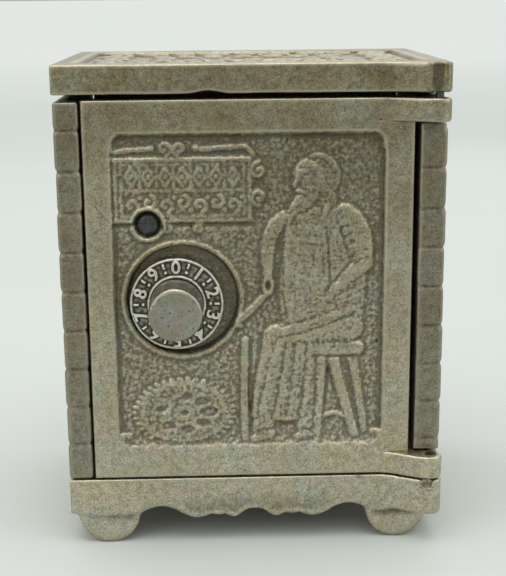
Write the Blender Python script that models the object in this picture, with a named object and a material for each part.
"""Toy safe coin bank: nickel-plated cast iron, with a door that swings and a dial that turns.

Case frame, in metres: x runs right from the middle of the front, y runs back from the
front plane, z runs up from the ground. One empty shifts the whole bank so that the world
origin lies under the middle of its bounding box.
"""
import math

import bmesh
import bpy
from mathutils import Vector

# ---- Fits ----
FIT = 0.0003
SHAFT_PLAY = 0.0003
DOOR_PLAY = 0.0008
DOOR_HINGE_PLAY = 0.0012
DOOR_FOOT_PLAY = 0.0004
DOOR_HEAD_PLAY = 0.0012
ARM_PLAY = 0.0004
OVERLAP = 0.0002
CUT = 0.0020

# ---- Case ----
CASE_WIDTH = 0.0900
CASE_DEPTH = 0.0642
BODY_HEIGHT = 0.0926
WALL = 0.0030
LEFT_PILLAR_WIDTH = 0.0055
RIGHT_PILLAR_WIDTH = 0.0064
PILLAR_DEPTH = 0.0060
COURSE_HEIGHT = 0.0094
JOINT_WIDTH = 0.0007
JOINT_DEPTH = 0.0004
JOINT_CLEAR = 0.0012
SIDE_PANEL_DEPTH = 0.0008
SIDE_PANEL_MARGIN = 0.0075
WALL_SHORTFALL = 0.0015
BEARING_LENGTH = 0.0200

# ---- Base ----
BASE_TOP = 0.0166
BASE_PLATE = 0.0026
SKIRT_EDGE = 0.0077
LOBE_DROP = 0.0018
SKIRT_WAIST = 0.0005
SKIRT_CENTRE_RISE = 0.0006
SCALLOP_ENDS = (0.0033, 0.0073, 0.0107, 0.0176, 0.0276)
SCALLOP_RISES = (0.0004, -0.0013, -0.0007, -0.0013, 0.0018)
FOOT_WIDTH = 0.0154
FOOT_DEPTH = 0.0090
FOOT_INSET = 0.0094
FOOT_SET_BACK = 0.0004
FOOT_TOP_OVERLAP = 0.0016
FOOT_FLAT = 0.0040
FOOT_ROOT = 0.0004
FOOT_RIGHT_INSET = 0.0010

# ---- Lid ----
LID_HEIGHT = 0.0068
LID_OVERHANG = 0.0002
LID_RIM = 0.0050
LID_SINK = 0.0010
LID_PLATE = 0.0028
LID_BAND = 0.0040
SLOT_LENGTH = 0.0320
SLOT_WIDTH = 0.0048

# ---- Tie rods ----
ROD_RADIUS = 0.0015
ROD_BOSS_RADIUS = 0.0038
ROD_FROM_WALL = 0.0060
ROD_HEAD_RADIUS = 0.0032
ROD_HEAD_HEIGHT = 0.0020
ROD_THREAD = 0.0042
SCREW_SLOT = 0.0008

# ---- Hinge ----
KNUCKLE_RADIUS = 0.0028
KNUCKLE_STEP = 0.0018
SWELL_LENGTH = 0.0124
PIN_RADIUS = 0.0010
PIN_GRIP = 0.0042
ARM_HEIGHT = 0.0055
ARM_DEPTH = 0.0030

# ---- Door ----
DOOR_THICKNESS = 0.0050
FIELD_DEPTH = 0.0012
STILE_LEFT = 0.0060
STILE_RIGHT = 0.0065
RAIL_TOP = 0.0073
RAIL_BOTTOM = 0.0068
FIELD_CORNER = 0.0030
RELIEF_FRONT = 0.0005
RELIEF_ROOT = 0.0004
PLAQUE_WIDTH = 0.0326
PLAQUE_HEIGHT = 0.0154
PLAQUE_BELOW_RAIL = 0.0058
GEAR_ABOVE_RAIL = 0.0094
GEAR_HALF_WIDTH = 0.0128
GEAR_HALF_HEIGHT = 0.0092
FIGURE_FROM_STILE = 0.0164

# ---- Dial and lock ----
DIAL_FROM_EDGE = 0.0207
DIAL_ABOVE_DOOR = 0.0431
DIAL_RADIUS = 0.0111
DIAL_THICKNESS = 0.0025
WELL_RADIUS = 0.0131
WELL_DEPTH = 0.0034
WELL_SHIFT_X = 0.0014
WELL_SHIFT_Z = 0.0010
KNOB_RADIUS = 0.0063
KNOB_LENGTH = 0.0105
KNOB_BORE_DEPTH = 0.0080
KNOB_ROUNDING = 0.0004
SET_SCREW_RADIUS = 0.0008
SET_SCREW_FROM_BASE = 0.0035
SPINDLE_RADIUS = 0.0018
FRONT_SPACER = 0.0027
MIDDLE_SPACER = 0.0018
SPACER_RADIUS = 0.0038
TUMBLER_RADIUS = 0.0140
TUMBLER_THICKNESS = 0.0018
TUMBLER_TEETH = 24
TOOTH_DEPTH = 0.0004
DRIVE_PIN_RADIUS = 0.0010
DRIVE_PIN_CIRCLE = 0.0080
FRONT_PIN_ANGLE = 90
REAR_PIN_ANGLE = 270
WASHER_THICKNESS = 0.0007
WASHER_RADIUS = 0.0034
NUT_RADIUS = 0.0036
NUT_HEIGHT = 0.0022
SPINDLE_TAIL = 0.0008

# ---- Keeper finger ----
FINGER_HEIGHT = 0.0040
FINGER_THICKNESS = 0.0020
FINGER_CATCH = 0.0020
NOTCH_EXTRA_DEPTH = 0.0022
NOTCH_EXTRA_HEIGHT = 0.0008

# ---- Click spring and its rivet ----
RIVET_FROM_DIAL_X = 0.0063
RIVET_ABOVE_DIAL = 0.0191
RIVET_HEAD_RADIUS = 0.0026
RIVET_HEAD = 0.0012
RIVET_SHANK_RADIUS = 0.0012
RIVET_WELL_RADIUS = 0.0033
RIVET_WELL_DEPTH = 0.0026
RIVET_TAIL = 0.0010
SPRING_THICKNESS = 0.0005
SPRING_HALF_WIDTH = 0.0022
SPRING_EAR = 0.0033
SPRING_SHOULDER = 0.0031

# ---- Lock cover ----
COVER_THICKNESS = 0.0010
COVER_OVERLAP = 0.0015
COVER_LEG_WIDTH = 0.0080
COVER_TAB = 0.0058
COVER_BEHIND_NUT = 0.0008
COVER_SCREW_RADIUS = 0.0011
COVER_SCREW_HEAD_RADIUS = 0.0021
COVER_SCREW_HEAD = 0.0014
COVER_SCREW_BITE = 0.0020

# ---- Places that follow from the sizes ----
HALF_WIDTH = CASE_WIDTH / 2
LID_BOTTOM = BASE_TOP + BODY_HEIGHT
LID_TOP = LID_BOTTOM + LID_HEIGHT
HINGE_X = HALF_WIDTH + LID_OVERHANG - KNUCKLE_RADIUS
HINGE_Y = -KNUCKLE_STEP
DOOR_LEFT = -HALF_WIDTH + LEFT_PILLAR_WIDTH + DOOR_PLAY
DOOR_RIGHT = HALF_WIDTH - RIGHT_PILLAR_WIDTH - DOOR_HINGE_PLAY
DOOR_BOTTOM = BASE_TOP + DOOR_FOOT_PLAY
DOOR_TOP = LID_BOTTOM - DOOR_HEAD_PLAY
DIAL_X = DOOR_LEFT + DIAL_FROM_EDGE
DIAL_Z = DOOR_BOTTOM + DIAL_ABOVE_DOOR
DIAL_BACK = WELL_DEPTH - FIT
DIAL_FRONT = DIAL_BACK - DIAL_THICKNESS
KNOB_BACK = DIAL_FRONT - FIT
KNOB_FRONT = KNOB_BACK - KNOB_LENGTH
RIVET_X = DIAL_X - RIVET_FROM_DIAL_X
RIVET_Z = DIAL_Z + RIVET_ABOVE_DIAL
FRONT_SPACER_START = DOOR_THICKNESS + FIT
FRONT_TUMBLER_START = FRONT_SPACER_START + FRONT_SPACER + FIT
MIDDLE_SPACER_START = FRONT_TUMBLER_START + TUMBLER_THICKNESS + FIT
REAR_TUMBLER_START = MIDDLE_SPACER_START + MIDDLE_SPACER + FIT
WASHER_START = REAR_TUMBLER_START + TUMBLER_THICKNESS + FIT
NUT_START = WASHER_START + WASHER_THICKNESS + FIT
SPINDLE_END = NUT_START + NUT_HEIGHT + SPINDLE_TAIL
COVER_START = SPINDLE_END + COVER_BEHIND_NUT
ROD_X = HALF_WIDTH - WALL - ROD_FROM_WALL
ROD_Y = CASE_DEPTH / 2
FRONT_REACH = -KNOB_FRONT
MIDDLE_Y = (CASE_DEPTH + LID_OVERHANG - FRONT_REACH) / 2


# ---- Outlines: lists of (a, b) points ----
def arc_points(centre_a, centre_b, radius_a, radius_b, start, end, steps):
    """Points on an elliptical arc, angles in degrees."""
    points = []
    for step in range(steps + 1):
        angle = math.radians(start + (end - start) * step / steps)
        points.append((centre_a + radius_a * math.cos(angle), centre_b + radius_b * math.sin(angle)))
    return points


def circle_points(centre_a, centre_b, radius, sides):
    """Corner points of a regular polygon that stands for a circle."""
    return arc_points(centre_a, centre_b, radius, radius, 0, 360 - 360 / sides, sides - 1)


def rectangle_points(low_a, high_a, low_b, high_b):
    """Four corners of a rectangle."""
    return [(low_a, low_b), (high_a, low_b), (high_a, high_b), (low_a, high_b)]


def rounded_rectangle_points(low_a, high_a, low_b, high_b, radius, steps=4):
    """A rectangle with quarter-round corners."""
    points = arc_points(high_a - radius, low_b + radius, radius, radius, -90, 0, steps)
    points += arc_points(high_a - radius, high_b - radius, radius, radius, 0, 90, steps)
    points += arc_points(low_a + radius, high_b - radius, radius, radius, 90, 180, steps)
    points += arc_points(low_a + radius, low_b + radius, radius, radius, 180, 270, steps)
    return points


def bow_points(start, end, rise, steps=5):
    """Points on a shallow bow from start to end, bulging up by rise; the end is left out."""
    points = []
    for step in range(steps):
        share = step / steps
        a = start[0] + (end[0] - start[0]) * share
        b = start[1] + (end[1] - start[1]) * share + 4 * rise * share * (1 - share)
        points.append((a, b))
    return points


def swell_points(front_y, steps=6):
    """The front edge where it swells forward and rounds the hinge knuckle at the corner."""
    points = []
    start_x = HINGE_X - SWELL_LENGTH
    knuckle_front = HINGE_Y - KNUCKLE_RADIUS
    for step in range(steps):
        share = step / steps
        ease = share * share * (3 - 2 * share)
        points.append((start_x + SWELL_LENGTH * share, front_y + (knuckle_front - front_y) * ease))
    return points


def cornered_plan(half_width, front_y, back_y):
    """Plan of a plate whose front right corner carries the hinge knuckle."""
    points = [(-half_width, front_y)] + swell_points(front_y)
    reach = min(1.0, (half_width - HINGE_X) / KNUCKLE_RADIUS)
    turn = math.degrees(math.acos(reach))
    points += arc_points(HINGE_X, HINGE_Y, KNUCKLE_RADIUS, KNUCKLE_RADIUS, -90, turn, 8)
    points += [(half_width, back_y), (-half_width, back_y)]
    return points


# ---- Solids ----
def add_prism(bm, outline, low, high, axis="Y"):
    """Add a closed prism to bm: the outline, carried from low to high along an axis."""
    def corner(a, b, height):
        places = {"X": (height, a, b), "Y": (a, height, b), "Z": (a, b, height)}
        return bm.verts.new(places[axis])

    near = [corner(a, b, low) for a, b in outline]
    far = [corner(a, b, high) for a, b in outline]
    bm.faces.new(list(reversed(near)))
    bm.faces.new(far)
    for index, vertex in enumerate(near):
        following = (index + 1) % len(near)
        bm.faces.new((vertex, near[following], far[following], far[index]))
    return bm


def add_box(bm, x_range, y_range, z_range):
    """Add a closed box to bm."""
    return add_prism(bm, rectangle_points(*x_range, *z_range), *y_range)


def add_ring(bm, centre, outer, inner, low, high, sides=24):
    """Add a washer or sleeve to bm, its axis along y."""
    loops = []
    for radius, depth in ((outer, low), (outer, high), (inner, high), (inner, low)):
        ring = circle_points(*centre, radius, sides)
        loops.append([bm.verts.new((a, depth, b)) for a, b in ring])
    for index, loop in enumerate(loops):
        other = loops[(index + 1) % 4]
        for side in range(sides):
            following = (side + 1) % sides
            bm.faces.new((loop[side], loop[following], other[following], other[side]))
    return bm


def make_material(name, colour, roughness, metallic=1.0):
    """A metal finish."""
    material = bpy.data.materials.new(name)
    material.use_nodes = True
    shader = material.node_tree.nodes["Principled BSDF"]
    shader.inputs["Base Color"].default_value = (*colour, 1.0)
    shader.inputs["Roughness"].default_value = roughness
    shader.inputs["Metallic"].default_value = metallic
    return material


def make_object(name, bm, parent, material=None, bevel=0.0):
    """Turn bm, drawn in the case frame, into an object placed on its parent empty."""
    bmesh.ops.recalc_face_normals(bm, faces=bm.faces)
    bmesh.ops.translate(bm, verts=bm.verts, vec=-Vector(parent["case_place"]))
    mesh = bpy.data.meshes.new(name)
    bm.to_mesh(mesh)
    bm.free()
    mesh.shade_smooth()
    mesh.set_sharp_from_angle(angle=math.radians(32))
    thing = bpy.data.objects.new(name, mesh)
    bpy.context.scene.collection.objects.link(thing)
    thing.parent = parent
    if material:
        mesh.materials.append(material)
    if bevel:
        rounding = thing.modifiers.new("edge_rounding", "BEVEL")
        rounding.width = bevel
        rounding.segments = 1
        rounding.limit_method = "ANGLE"
        rounding.angle_limit = math.radians(50)
    return thing


def combine(target, operation, name, bm, parent):
    """Cut or join a hidden shape into target with a Boolean that stays live."""
    tool = make_object(name, bm, parent)
    tool.hide_render = True
    tool.display_type = "WIRE"
    modifier = target.modifiers.new(name, "BOOLEAN")
    modifier.operation = operation
    modifier.solver = "EXACT"
    modifier.object = tool
    return tool


def make_empty(name, parent, case_place):
    """An empty at a place in the case frame; moving pieces hang on it."""
    empty = bpy.data.objects.new(name, None)
    bpy.context.scene.collection.objects.link(empty)
    empty["case_place"] = list(case_place)
    if parent:
        empty.parent = parent
        empty.location = Vector(case_place) - Vector(parent["case_place"])
    return empty


# ---- Base ----
def skirt_outline():
    """The space under the scalloped skirt, as an outline in x and z."""
    edge = SKIRT_EDGE
    right = []
    start = (0.0, edge + SKIRT_CENTRE_RISE)
    for reach, rise in zip(SCALLOP_ENDS, SCALLOP_RISES):
        last = reach == SCALLOP_ENDS[-1]
        end = (reach, edge if last else edge - SKIRT_WAIST)
        right += bow_points(start, end, rise)
        start = end
    right += [start, (HALF_WIDTH + CUT, edge)]
    left = [(-a, b) for a, b in reversed(right[1:])]
    floor = -CUT
    return [(-HALF_WIDTH - CUT, floor), *left, *right, (HALF_WIDTH + CUT, floor)]


def foot_points(centre_x):
    """A half-disc foot, flat where it stands."""
    half_width = FOOT_WIDTH / 2
    drop = SKIRT_EDGE + FOOT_ROOT
    flat_angle = math.degrees(math.acos(FOOT_FLAT / FOOT_WIDTH))
    reach = drop / math.sin(math.radians(flat_angle))
    top = SKIRT_EDGE + FOOT_TOP_OVERLAP
    points = [(centre_x + half_width, top), (centre_x - half_width, top)]
    points += arc_points(centre_x, drop, half_width, reach, 180, 180 + flat_angle, 7)
    points += arc_points(centre_x, drop, half_width, reach, 360 - flat_angle, 360, 7)
    return points


def foot_centres():
    """x of the feet, left and right."""
    inset = HALF_WIDTH - FOOT_INSET
    return (-inset, inset - FOOT_RIGHT_INSET)


def build_base(bank, finish):
    """Plate, skirt, feet and lower hinge knuckle in one casting."""
    lowest = SKIRT_EDGE - LOBE_DROP
    bm = bmesh.new()
    add_prism(bm, cornered_plan(HALF_WIDTH, 0.0, CASE_DEPTH), lowest, BASE_TOP, "Z")
    base = make_object("base", bm, bank, finish)

    inner = HALF_WIDTH - WALL
    bm = bmesh.new()
    add_box(bm, (-inner, inner), (WALL, CASE_DEPTH - WALL), (-CUT, BASE_TOP - BASE_PLATE))
    combine(base, "DIFFERENCE", "base_hollow", bm, bank)

    bm = bmesh.new()
    add_prism(bm, skirt_outline(), HINGE_Y - KNUCKLE_RADIUS - CUT, CASE_DEPTH + CUT)
    combine(base, "DIFFERENCE", "base_scallops", bm, bank)

    bm = bmesh.new()
    for centre_x in foot_centres():
        front = FOOT_SET_BACK
        add_prism(bm, foot_points(centre_x), front, front + FOOT_DEPTH)
        back = CASE_DEPTH - FOOT_SET_BACK
        add_prism(bm, foot_points(centre_x), back - FOOT_DEPTH, back)
    combine(base, "UNION", "base_feet", bm, bank)

    bm = bmesh.new()
    for side in (-1, 1):
        hole = circle_points(side * ROD_X, ROD_Y, ROD_RADIUS + SHAFT_PLAY, 16)
        add_prism(bm, hole, BASE_TOP - BASE_PLATE - CUT, BASE_TOP + CUT, "Z")
    bore = circle_points(HINGE_X, HINGE_Y, PIN_RADIUS + SHAFT_PLAY, 16)
    add_prism(bm, bore, BASE_TOP - PIN_GRIP - FIT, BASE_TOP + CUT, "Z")
    combine(base, "DIFFERENCE", "base_holes", bm, bank)


# ---- Walls ----
def pillar_width(side):
    """Width of the brick pillar on one side."""
    return LEFT_PILLAR_WIDTH if side < 0 else RIGHT_PILLAR_WIDTH


def add_joint_lines(bm, side, low_z, high_z):
    """Mortar lines across the front of a pillar, courses counted up from the base."""
    inner = HALF_WIDTH - pillar_width(side) - CUT
    x_range = sorted((side * (HALF_WIDTH + CUT), side * inner))
    courses = int((high_z - DOOR_BOTTOM) / COURSE_HEIGHT)
    for course in range(1, courses + 1):
        line_z = DOOR_BOTTOM + course * COURSE_HEIGHT
        if low_z + JOINT_CLEAR < line_z < high_z - JOINT_CLEAR:
            z_range = (line_z - JOINT_WIDTH / 2, line_z + JOINT_WIDTH / 2)
            add_box(bm, x_range, (-CUT, JOINT_DEPTH), z_range)


def side_plan(side):
    """Plan of a side wall with the pillar at its front."""
    outer = side * HALF_WIDTH
    inner = side * (HALF_WIDTH - WALL)
    pillar = side * (HALF_WIDTH - pillar_width(side))
    return [
        (outer, 0.0), (outer, CASE_DEPTH), (inner, CASE_DEPTH),
        (inner, PILLAR_DEPTH), (pillar, PILLAR_DEPTH), (pillar, 0.0),
    ]


def build_side_wall(name, side, bank, finish):
    """A side casting: pillar, wall, and the raised bearing that carries the lid."""
    bottom = BASE_TOP + FIT
    top = LID_BOTTOM - WALL_SHORTFALL
    bm = bmesh.new()
    add_prism(bm, side_plan(side), bottom, top, "Z")
    wall = make_object(name, bm, bank, finish)

    bm = bmesh.new()
    pillar_low, pillar_high = bottom, top
    if side > 0:
        pillar_low = DOOR_BOTTOM + ARM_HEIGHT + ARM_PLAY
        pillar_high = DOOR_TOP - ARM_HEIGHT - ARM_PLAY
        x_range = (DOOR_RIGHT - CUT, HALF_WIDTH + CUT)
        add_box(bm, x_range, (-CUT, PILLAR_DEPTH), (bottom - CUT, pillar_low))
        add_box(bm, x_range, (-CUT, PILLAR_DEPTH), (pillar_high, top + CUT))
    add_joint_lines(bm, side, pillar_low, pillar_high)
    panel_x = sorted((side * (HALF_WIDTH + CUT), side * (HALF_WIDTH - SIDE_PANEL_DEPTH)))
    margin = SIDE_PANEL_MARGIN
    add_box(bm, panel_x, (margin, CASE_DEPTH - margin), (bottom + margin, top - margin))
    combine(wall, "DIFFERENCE", name + "_cuts", bm, bank)

    bm = bmesh.new()
    edge_x = sorted((side * (HALF_WIDTH - OVERLAP), side * (HALF_WIDTH - WALL + OVERLAP)))
    y_range = (ROD_Y - BEARING_LENGTH / 2, ROD_Y + BEARING_LENGTH / 2)
    add_box(bm, edge_x, y_range, (top - CUT, LID_BOTTOM - FIT))
    if side < 0:
        finger_z = (DIAL_Z - FINGER_HEIGHT / 2, DIAL_Z + FINGER_HEIGHT / 2)
        finger_end = DIAL_X - TUMBLER_RADIUS + FINGER_CATCH
        finger_y = (FRONT_TUMBLER_START - FIT - FINGER_THICKNESS, FRONT_TUMBLER_START - FIT)
        add_box(bm, (-HALF_WIDTH + WALL / 2, finger_end), finger_y, finger_z)
    combine(wall, "UNION", name + "_additions", bm, bank)


def build_back_wall(bank, finish):
    """The rear casting, held between the side walls."""
    inner = HALF_WIDTH - WALL - FIT
    bm = bmesh.new()
    z_range = (BASE_TOP + FIT, LID_BOTTOM - FIT)
    add_box(bm, (-inner, inner), (CASE_DEPTH - WALL, CASE_DEPTH), z_range)
    back = make_object("back_wall", bm, bank, finish)
    margin = SIDE_PANEL_MARGIN
    bm = bmesh.new()
    panel_z = (z_range[0] + margin, z_range[1] - margin)
    y_range = (CASE_DEPTH - SIDE_PANEL_DEPTH, CASE_DEPTH + CUT)
    add_box(bm, (-inner + margin, inner - margin), y_range, panel_z)
    combine(back, "DIFFERENCE", "back_panel", bm, bank)


# ---- Lid ----
def build_lid(bank, finish):
    """Cap with a deep band, a rim round a sunken field, the coin slot and the upper knuckle."""
    edge = HALF_WIDTH + LID_OVERHANG
    back = CASE_DEPTH + LID_OVERHANG
    bm = bmesh.new()
    add_prism(bm, cornered_plan(edge, -LID_OVERHANG, back), LID_BOTTOM, LID_TOP, "Z")
    lid = make_object("lid", bm, bank, finish)

    field_floor = LID_TOP - LID_SINK
    bm = bmesh.new()
    field = rounded_rectangle_points(-edge + LID_RIM, edge - LID_RIM, LID_RIM, back - LID_RIM, FIELD_CORNER)
    add_prism(bm, field, field_floor, LID_TOP + CUT, "Z")
    combine(lid, "DIFFERENCE", "lid_field", bm, bank)

    inside = rectangle_points(-edge + LID_BAND, edge - LID_BAND, LID_BAND, back - LID_BAND)
    bm = bmesh.new()
    add_prism(bm, inside, LID_BOTTOM - CUT, field_floor - LID_PLATE, "Z")
    combine(lid, "DIFFERENCE", "lid_hollow", bm, bank)

    bm = bmesh.new()
    for side in (-1, 1):
        boss = circle_points(side * ROD_X, ROD_Y, ROD_BOSS_RADIUS, 20)
        add_prism(bm, boss, LID_BOTTOM, field_floor - LID_PLATE / 2, "Z")
    combine(lid, "UNION", "lid_bosses", bm, bank)

    bm = bmesh.new()
    slot_y = (ROD_Y - SLOT_WIDTH / 2, ROD_Y + SLOT_WIDTH / 2)
    add_box(bm, (-SLOT_LENGTH / 2, SLOT_LENGTH / 2), slot_y, (LID_BOTTOM - CUT, LID_TOP + CUT))
    for side in (-1, 1):
        hole = circle_points(side * ROD_X, ROD_Y, ROD_RADIUS + SHAFT_PLAY, 16)
        add_prism(bm, hole, LID_BOTTOM - CUT, LID_BOTTOM + ROD_THREAD + FIT, "Z")
    bore = circle_points(HINGE_X, HINGE_Y, PIN_RADIUS + SHAFT_PLAY, 16)
    add_prism(bm, bore, LID_BOTTOM - CUT, LID_BOTTOM + PIN_GRIP + FIT, "Z")
    combine(lid, "DIFFERENCE", "lid_holes", bm, bank)


# ---- Rods and pins ----
def build_tie_rod(name, side, bank, finish):
    """A long screw from under the base up into the lid, slotted at its head."""
    seat = BASE_TOP - BASE_PLATE - FIT
    bm = bmesh.new()
    head = circle_points(side * ROD_X, ROD_Y, ROD_HEAD_RADIUS, 20)
    add_prism(bm, head, seat - ROD_HEAD_HEIGHT, seat, "Z")
    rod = make_object(name, bm, bank, finish)
    bm = bmesh.new()
    shank = circle_points(side * ROD_X, ROD_Y, ROD_RADIUS, 16)
    add_prism(bm, shank, seat - ROD_HEAD_HEIGHT / 2, LID_BOTTOM + ROD_THREAD, "Z")
    combine(rod, "UNION", name + "_shank", bm, bank)
    bm = bmesh.new()
    x_range = (side * ROD_X - SCREW_SLOT / 2, side * ROD_X + SCREW_SLOT / 2)
    y_range = (ROD_Y - ROD_HEAD_RADIUS - CUT, ROD_Y + ROD_HEAD_RADIUS + CUT)
    slot_top = seat - ROD_HEAD_HEIGHT + SCREW_SLOT
    add_box(bm, x_range, y_range, (seat - ROD_HEAD_HEIGHT - CUT, slot_top))
    combine(rod, "DIFFERENCE", name + "_slot", bm, bank)


def build_hinge_pin(name, low, high, bank, finish):
    """A plain steel pin on the door's hinge axis."""
    bm = bmesh.new()
    add_prism(bm, circle_points(HINGE_X, HINGE_Y, PIN_RADIUS, 16), low, high, "Z")
    make_object(name, bm, bank, finish)


# ---- Door ----
def door_plan():
    """Plan of the door with its hinge arm and knuckle."""
    points = [(DOOR_LEFT, 0.0)] + swell_points(0.0)
    points += arc_points(HINGE_X, HINGE_Y, KNUCKLE_RADIUS, KNUCKLE_RADIUS, -90, 90, 10)
    points += [(HINGE_X, ARM_DEPTH), (DOOR_RIGHT, ARM_DEPTH)]
    points += [(DOOR_RIGHT, DOOR_THICKNESS), (DOOR_LEFT, DOOR_THICKNESS)]
    return points


def figure_points(base_x, base_z):
    """A plain outline of the seated craftsman, from knees to head."""
    shape = [
        (-0.0125, 0.0000), (-0.0120, 0.0230), (-0.0140, 0.0290), (-0.0085, 0.0330),
        (-0.0085, 0.0500), (-0.0050, 0.0560), (-0.0030, 0.0600), (-0.0040, 0.0660),
        (0.0000, 0.0715), (0.0060, 0.0700), (0.0065, 0.0620), (0.0110, 0.0560),
        (0.0140, 0.0440), (0.0090, 0.0330), (0.0110, 0.0200), (0.0130, 0.0000),
    ]
    return [(base_x + a, base_z + b) for a, b in shape]


def build_door(hinge, finish):
    """C-shaped casting: two hinge arms, a sunken field with relief, the dial well."""
    bm = bmesh.new()
    add_prism(bm, door_plan(), DOOR_BOTTOM, DOOR_TOP, "Z")
    door = make_object("door", bm, hinge, finish)

    window_z = (DOOR_BOTTOM + ARM_HEIGHT, DOOR_TOP - ARM_HEIGHT)
    clear_y = (HINGE_Y - KNUCKLE_RADIUS - CUT, DOOR_THICKNESS + CUT)
    clear_x = (HINGE_X - SWELL_LENGTH, HINGE_X + KNUCKLE_RADIUS + CUT)
    window_plan = [
        (clear_x[0], clear_y[0]), (clear_x[1], clear_y[0]), (clear_x[1], clear_y[1]),
        (DOOR_RIGHT, clear_y[1]), (DOOR_RIGHT, 0.0), (clear_x[0], 0.0),
    ]
    bm = bmesh.new()
    add_prism(bm, window_plan, *window_z, "Z")
    combine(door, "DIFFERENCE", "door_window", bm, hinge)

    field_x = (DOOR_LEFT + STILE_LEFT, DOOR_RIGHT - STILE_RIGHT)
    field_z = (DOOR_BOTTOM + RAIL_BOTTOM, DOOR_TOP - RAIL_TOP)
    bm = bmesh.new()
    field = rounded_rectangle_points(*field_x, *field_z, FIELD_CORNER)
    add_prism(bm, field, -CUT, FIELD_DEPTH)
    combine(door, "DIFFERENCE", "door_field", bm, hinge)

    bm = bmesh.new()
    relief = (RELIEF_FRONT, FIELD_DEPTH + RELIEF_ROOT)
    plaque_top = field_z[1] - PLAQUE_BELOW_RAIL
    plaque_x = (field_x[0] + FIT, field_x[0] + PLAQUE_WIDTH)
    add_box(bm, plaque_x, relief, (plaque_top - PLAQUE_HEIGHT, plaque_top))
    gear_z = field_z[0] + GEAR_ABOVE_RAIL
    gear = arc_points(DIAL_X + WELL_SHIFT_X, gear_z, GEAR_HALF_WIDTH, GEAR_HALF_HEIGHT, 0, 345, 23)
    add_prism(bm, gear, *relief)
    figure_x = field_x[1] - FIGURE_FROM_STILE
    add_prism(bm, figure_points(figure_x, field_z[0] + FIT), *relief)
    combine(door, "UNION", "door_relief", bm, hinge)

    bm = bmesh.new()
    well = circle_points(DIAL_X + WELL_SHIFT_X, DIAL_Z + WELL_SHIFT_Z, WELL_RADIUS, 48)
    add_prism(bm, well, -CUT, WELL_DEPTH)
    rivet_well = circle_points(RIVET_X, RIVET_Z, RIVET_WELL_RADIUS, 24)
    add_prism(bm, rivet_well, -CUT, RIVET_WELL_DEPTH)
    combine(door, "DIFFERENCE", "door_wells", bm, hinge)

    bm = bmesh.new()
    through = (WELL_DEPTH - CUT, DOOR_THICKNESS + CUT)
    add_prism(bm, circle_points(DIAL_X, DIAL_Z, SPINDLE_RADIUS + SHAFT_PLAY, 16), *through)
    rivet_hole = circle_points(RIVET_X, RIVET_Z, RIVET_SHANK_RADIUS + SHAFT_PLAY, 16)
    add_prism(bm, rivet_hole, *through)
    for screw_x, screw_z in cover_screw_places().values():
        hole = circle_points(screw_x, screw_z, COVER_SCREW_RADIUS + SHAFT_PLAY, 16)
        add_prism(bm, hole, DOOR_THICKNESS - COVER_SCREW_BITE - FIT, DOOR_THICKNESS + CUT)
    pin_bore = circle_points(HINGE_X, HINGE_Y, PIN_RADIUS + SHAFT_PLAY, 16)
    add_prism(bm, pin_bore, DOOR_BOTTOM - CUT, window_z[0] + CUT, "Z")
    add_prism(bm, pin_bore, window_z[1] - CUT, DOOR_TOP + CUT, "Z")
    combine(door, "DIFFERENCE", "door_holes", bm, hinge)


# ---- Click spring and rivet ----
def build_click_rivet(hinge, finish):
    """The steel peg seen from the front, which holds the spring behind the door."""
    head_back = RIVET_WELL_DEPTH - FIT
    bm = bmesh.new()
    head = circle_points(RIVET_X, RIVET_Z, RIVET_HEAD_RADIUS, 24)
    add_prism(bm, head, head_back - RIVET_HEAD, head_back)
    rivet = make_object("click_rivet", bm, hinge, finish)
    bm = bmesh.new()
    shank_end = DOOR_THICKNESS + FIT + SPRING_THICKNESS + FIT + RIVET_TAIL
    shank = circle_points(RIVET_X, RIVET_Z, RIVET_SHANK_RADIUS, 16)
    add_prism(bm, shank, head_back - RIVET_HEAD / 2, shank_end)
    combine(rivet, "UNION", "click_rivet_shank", bm, hinge)


def build_click_spring(hinge, finish):
    """Leaf held by the rivet, its tongue bent back over the front tumbler's teeth."""
    leaf_y = (DOOR_THICKNESS + FIT, DOOR_THICKNESS + FIT + SPRING_THICKNESS)
    tongue_z = DIAL_Z + TUMBLER_RADIUS + FIT
    half = SPRING_HALF_WIDTH
    leaf = [
        (DIAL_X - half, tongue_z),
        (DIAL_X + half, tongue_z),
        (DIAL_X + half, tongue_z + half),
        (RIVET_X + 2 * half, RIVET_Z + half),
        (RIVET_X + half, RIVET_Z + SPRING_EAR),
        (RIVET_X - half, RIVET_Z + SPRING_EAR),
        (RIVET_X - SPRING_SHOULDER, RIVET_Z),
        (RIVET_X - half, RIVET_Z - SPRING_SHOULDER),
    ]
    bm = bmesh.new()
    add_prism(bm, leaf, *leaf_y)
    spring = make_object("click_spring", bm, hinge, finish)
    bm = bmesh.new()
    tongue_end = FRONT_TUMBLER_START + TUMBLER_THICKNESS
    x_range = (DIAL_X - half + OVERLAP, DIAL_X + half - OVERLAP)
    y_range = (leaf_y[0] + OVERLAP / 2, tongue_end)
    add_box(bm, x_range, y_range, (tongue_z + OVERLAP / 2, tongue_z + SPRING_THICKNESS))
    combine(spring, "UNION", "click_spring_tongue", bm, hinge)
    bm = bmesh.new()
    hole = circle_points(RIVET_X, RIVET_Z, RIVET_SHANK_RADIUS + SHAFT_PLAY, 16)
    add_prism(bm, hole, leaf_y[0] - CUT, leaf_y[1] + CUT)
    combine(spring, "DIFFERENCE", "click_spring_hole", bm, hinge)


# ---- Lock cover ----
def cover_rise():
    """Distance from the dial axis to the inside of each cover leg."""
    return TUMBLER_RADIUS + COVER_OVERLAP


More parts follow.
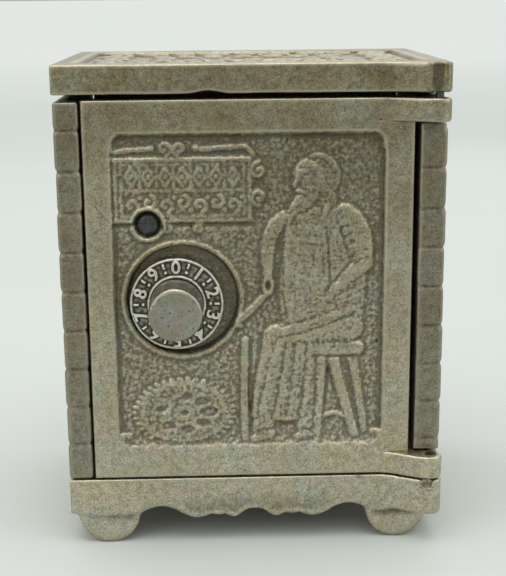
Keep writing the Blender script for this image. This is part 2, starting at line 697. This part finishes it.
def cover_screw_places():
    """x and z of the two screws that hold the cover."""
    reach = cover_rise() + COVER_THICKNESS + COVER_TAB / 2
    upper_x = DIAL_X + TUMBLER_RADIUS - COVER_LEG_WIDTH / 2
    return {
        "cover_screw_upper": (upper_x, DIAL_Z + reach),
        "cover_screw_lower": (DIAL_X, DIAL_Z - reach),
    }


def build_lock_cover(hinge, finish):
    """Bridge over the tumblers, screwed to the back of the door by two tabs."""
    rise = cover_rise()
    plate_y = (COVER_START, COVER_START + COVER_THICKNESS)
    bm = bmesh.new()
    half_height = rise + COVER_THICKNESS
    plate_z = (DIAL_Z - half_height, DIAL_Z + half_height)
    plate = rounded_rectangle_points(DIAL_X - rise, DIAL_X + rise, *plate_z, COVER_OVERLAP)
    add_prism(bm, plate, *plate_y)
    cover = make_object("lock_cover", bm, hinge, finish)

    foot_y = (DOOR_THICKNESS + FIT, DOOR_THICKNESS + FIT + COVER_THICKNESS)
    legs = bmesh.new()
    for side, (screw_x, screw_z) in zip((1, -1), cover_screw_places().values()):
        inside_z = DIAL_Z + side * rise
        outside_z = DIAL_Z + side * (half_height - OVERLAP)
        tab_z = DIAL_Z + side * (half_height + COVER_TAB)
        leg_end = plate_y[1] - OVERLAP
        outline = [
            (foot_y[0], inside_z), (foot_y[0], tab_z), (foot_y[1], tab_z),
            (foot_y[1], outside_z), (leg_end, outside_z), (leg_end, inside_z),
        ]
        half = COVER_LEG_WIDTH / 2
        add_prism(legs, outline, screw_x - half, screw_x + half, "X")
    combine(cover, "UNION", "lock_cover_legs", legs, hinge)

    bm = bmesh.new()
    for screw_x, screw_z in cover_screw_places().values():
        hole = circle_points(screw_x, screw_z, COVER_SCREW_RADIUS + SHAFT_PLAY, 16)
        add_prism(bm, hole, foot_y[0] - CUT, foot_y[1] + CUT)
    combine(cover, "DIFFERENCE", "lock_cover_holes", bm, hinge)


def build_cover_screw(name, hinge, finish):
    """A slotted screw that clamps one tab of the cover."""
    screw_x, screw_z = cover_screw_places()[name]
    head_start = DOOR_THICKNESS + FIT + COVER_THICKNESS + FIT
    bm = bmesh.new()
    head = circle_points(screw_x, screw_z, COVER_SCREW_HEAD_RADIUS, 20)
    add_prism(bm, head, head_start, head_start + COVER_SCREW_HEAD)
    screw = make_object(name, bm, hinge, finish)
    bm = bmesh.new()
    shank = circle_points(screw_x, screw_z, COVER_SCREW_RADIUS, 16)
    add_prism(bm, shank, DOOR_THICKNESS - COVER_SCREW_BITE, head_start + COVER_SCREW_HEAD / 2)
    combine(screw, "UNION", name + "_shank", bm, hinge)
    bm = bmesh.new()
    x_range = (screw_x - COVER_SCREW_HEAD_RADIUS - CUT, screw_x + COVER_SCREW_HEAD_RADIUS + CUT)
    z_range = (screw_z - SCREW_SLOT / 2, screw_z + SCREW_SLOT / 2)
    head_end = head_start + COVER_SCREW_HEAD
    add_box(bm, x_range, (head_end - SCREW_SLOT, head_end + CUT), z_range)
    combine(screw, "DIFFERENCE", name + "_slot", bm, hinge)


# ---- Dial, knob and spindle ----
def build_dial(dial_axis, finish):
    """The number ring, a disc with the spindle through it."""
    bm = bmesh.new()
    bore = SPINDLE_RADIUS + SHAFT_PLAY
    add_ring(bm, (DIAL_X, DIAL_Z), DIAL_RADIUS, bore, DIAL_FRONT, DIAL_BACK, 48)
    make_object("dial", bm, dial_axis, finish)


def build_knob(dial_axis, finish):
    """A tall round knob, bored from behind for the spindle and from below for its screw."""
    bm = bmesh.new()
    add_prism(bm, circle_points(DIAL_X, DIAL_Z, KNOB_RADIUS, 40), KNOB_FRONT, KNOB_BACK)
    knob = make_object("knob", bm, dial_axis, finish, bevel=KNOB_ROUNDING)
    bm = bmesh.new()
    bore = circle_points(DIAL_X, DIAL_Z, SPINDLE_RADIUS + SHAFT_PLAY, 16)
    add_prism(bm, bore, KNOB_BACK - KNOB_BORE_DEPTH, KNOB_BACK + CUT)
    combine(knob, "DIFFERENCE", "knob_bore", bm, dial_axis)
    bm = bmesh.new()
    hole = circle_points(DIAL_X, KNOB_BACK - SET_SCREW_FROM_BASE, SET_SCREW_RADIUS + SHAFT_PLAY, 12)
    add_prism(bm, hole, DIAL_Z - KNOB_RADIUS - CUT, DIAL_Z - SPINDLE_RADIUS / 2, "Z")
    combine(knob, "DIFFERENCE", "knob_screw_hole", bm, dial_axis)


def build_set_screw(dial_axis, finish):
    """The screw that holds the knob on its spindle."""
    bm = bmesh.new()
    outline = circle_points(DIAL_X, KNOB_BACK - SET_SCREW_FROM_BASE, SET_SCREW_RADIUS, 12)
    low = DIAL_Z - KNOB_RADIUS + FIT
    add_prism(bm, outline, low, DIAL_Z - SPINDLE_RADIUS - FIT, "Z")
    make_object("knob_set_screw", bm, dial_axis, finish)


def build_spindle(dial_axis, finish):
    """The shaft from inside the knob to the nut behind the tumblers."""
    bm = bmesh.new()
    start = KNOB_BACK - KNOB_BORE_DEPTH + FIT
    add_prism(bm, circle_points(DIAL_X, DIAL_Z, SPINDLE_RADIUS, 16), start, SPINDLE_END)
    make_object("spindle", bm, dial_axis, finish)


def build_sleeve(name, start, length, radius, dial_axis, finish):
    """A spacer or washer on the spindle."""
    bm = bmesh.new()
    add_ring(bm, (DIAL_X, DIAL_Z), radius, SPINDLE_RADIUS + SHAFT_PLAY, start, start + length)
    make_object(name, bm, dial_axis, finish)


def build_nut(dial_axis, finish):
    """Hexagon nut on the end of the spindle."""
    bm = bmesh.new()
    add_prism(bm, circle_points(DIAL_X, DIAL_Z, NUT_RADIUS, 6), NUT_START, NUT_START + NUT_HEIGHT)
    nut = make_object("spindle_nut", bm, dial_axis, finish)
    bm = bmesh.new()
    bore = circle_points(DIAL_X, DIAL_Z, SPINDLE_RADIUS + SHAFT_PLAY, 16)
    add_prism(bm, bore, NUT_START - CUT, NUT_START + NUT_HEIGHT + CUT)
    combine(nut, "DIFFERENCE", "spindle_nut_bore", bm, dial_axis)


# ---- Tumblers ----
def tumbler_points():
    """Outline of a tumbler with fine teeth round its edge."""
    points = []
    for index in range(TUMBLER_TEETH * 2):
        radius = TUMBLER_RADIUS - TOOTH_DEPTH * (index % 2)
        angle = math.pi * index / TUMBLER_TEETH
        points.append((DIAL_X + radius * math.cos(angle), DIAL_Z + radius * math.sin(angle)))
    return points


def build_tumbler(name, start, pin_angle, pin_range, dial_axis, finish):
    """A notched disc with one pin; the keeper finger passes only through the notch."""
    bm = bmesh.new()
    add_prism(bm, tumbler_points(), start, start + TUMBLER_THICKNESS)
    tumbler = make_object(name, bm, dial_axis, finish)
    bm = bmesh.new()
    through = (start - CUT, start + TUMBLER_THICKNESS + CUT)
    notch_end = DIAL_X - TUMBLER_RADIUS + FINGER_CATCH + NOTCH_EXTRA_DEPTH
    half = FINGER_HEIGHT / 2 + NOTCH_EXTRA_HEIGHT
    notch_x = (DIAL_X - TUMBLER_RADIUS - CUT, notch_end)
    add_box(bm, notch_x, through, (DIAL_Z - half, DIAL_Z + half))
    bore = circle_points(DIAL_X, DIAL_Z, SPINDLE_RADIUS + SHAFT_PLAY, 16)
    add_prism(bm, bore, *through)
    combine(tumbler, "DIFFERENCE", name + "_cuts", bm, dial_axis)
    bm = bmesh.new()
    angle = math.radians(pin_angle)
    pin_x = DIAL_X + DRIVE_PIN_CIRCLE * math.cos(angle)
    pin_z = DIAL_Z + DRIVE_PIN_CIRCLE * math.sin(angle)
    add_prism(bm, circle_points(pin_x, pin_z, DRIVE_PIN_RADIUS, 12), *pin_range)
    combine(tumbler, "UNION", name + "_pin", bm, dial_axis)


def build_lock(dial_axis, steel, brass):
    """Everything on the spindle behind the door."""
    build_sleeve("front_spacer", FRONT_SPACER_START, FRONT_SPACER, SPACER_RADIUS, dial_axis, brass)
    front_end = FRONT_TUMBLER_START + TUMBLER_THICKNESS
    pin_reach = REAR_TUMBLER_START - FIT
    drive_range = (front_end - CUT / 2, pin_reach)
    build_tumbler("front_tumbler", FRONT_TUMBLER_START, FRONT_PIN_ANGLE, drive_range, dial_axis, brass)
    build_sleeve("middle_spacer", MIDDLE_SPACER_START, MIDDLE_SPACER, SPACER_RADIUS, dial_axis, brass)
    pickup_range = (front_end + FIT, REAR_TUMBLER_START + CUT / 2)
    build_tumbler("rear_tumbler", REAR_TUMBLER_START, REAR_PIN_ANGLE, pickup_range, dial_axis, brass)
    build_sleeve("spring_washer", WASHER_START, WASHER_THICKNESS, WASHER_RADIUS, dial_axis, steel)
    build_nut(dial_axis, steel)


def main():
    for thing in list(bpy.data.objects):
        bpy.data.objects.remove(thing, do_unlink=True)

    nickel = make_material("nickel_plate", (0.42, 0.40, 0.35), 0.36)
    dark_nickel = make_material("tarnished_nickel", (0.33, 0.30, 0.25), 0.45)
    dial_metal = make_material("dial_metal", (0.40, 0.38, 0.32), 0.42)
    steel = make_material("blued_steel", (0.17, 0.19, 0.22), 0.32)
    brass = make_material("brass", (0.48, 0.37, 0.17), 0.38)

    bank = make_empty("bank", None, (0.0, 0.0, 0.0))
    bank.location = (0.0, -MIDDLE_Y, 0.0)
    hinge = make_empty("door_hinge", bank, (HINGE_X, HINGE_Y, 0.0))
    dial_axis = make_empty("dial_axis", hinge, (DIAL_X, 0.0, DIAL_Z))

    build_base(bank, nickel)
    build_side_wall("left_wall", -1, bank, dark_nickel)
    build_side_wall("right_wall", 1, bank, dark_nickel)
    build_back_wall(bank, dark_nickel)
    build_lid(bank, nickel)
    build_tie_rod("tie_rod_left", -1, bank, steel)
    build_tie_rod("tie_rod_right", 1, bank, steel)
    lower_pin_top = DOOR_BOTTOM + ARM_HEIGHT
    build_hinge_pin("hinge_pin_lower", BASE_TOP - PIN_GRIP, lower_pin_top, bank, steel)
    upper_pin_bottom = DOOR_TOP - ARM_HEIGHT
    build_hinge_pin("hinge_pin_upper", upper_pin_bottom, LID_BOTTOM + PIN_GRIP, bank, steel)

    build_door(hinge, nickel)
    build_click_rivet(hinge, steel)
    build_click_spring(hinge, steel)
    build_lock_cover(hinge, steel)
    build_cover_screw("cover_screw_upper", hinge, steel)
    build_cover_screw("cover_screw_lower", hinge, steel)

    build_dial(dial_axis, dial_metal)
    build_knob(dial_axis, nickel)
    build_set_screw(dial_axis, steel)
    build_spindle(dial_axis, steel)
    build_lock(dial_axis, steel, brass)


main()
